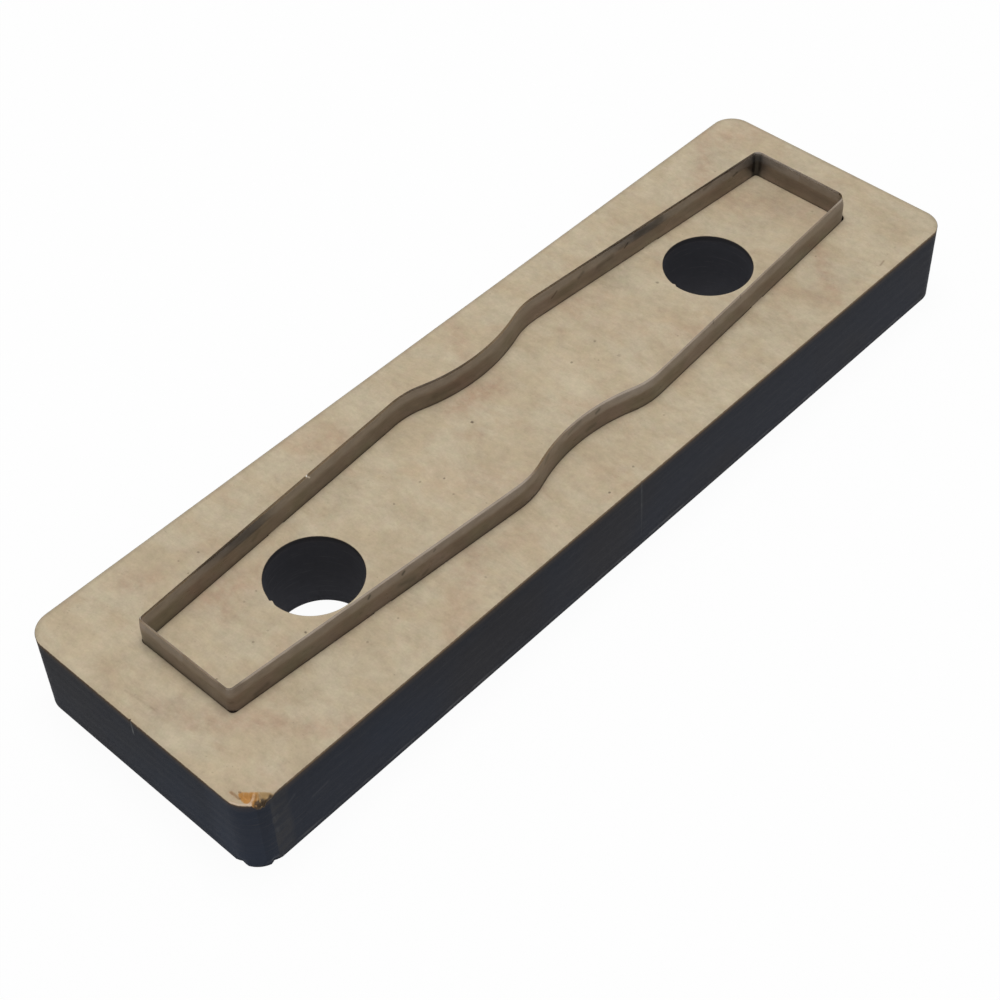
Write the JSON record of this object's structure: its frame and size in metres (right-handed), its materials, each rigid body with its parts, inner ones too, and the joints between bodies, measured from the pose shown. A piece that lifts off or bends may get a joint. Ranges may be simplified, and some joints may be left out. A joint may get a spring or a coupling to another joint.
{
  "type": "steel rule die",
  "caption": "Long plywood die board with rounded corners and finger holes, holding a bevelled steel rule bent to a closed strap outline with a narrow waist.",
  "frame": {"origin": "middle of the board's underside, level with the rule's lower edge", "axes": "+X along the die, +Y across it, +Z out of the board's cutting side, towards the cutting edge"},
  "size_m": [0.1966, 0.0576, 0.0238],
  "materials": {
    "wood": "pale veneer faces, edges and holes charred near black by the laser",
    "steel": "satin dark steel with a paler ground bevel"
  },
  "bodies": {
    "root": {"die_board": "wood", "cutting_rule": "steel"}
  },
  "joints": []
}
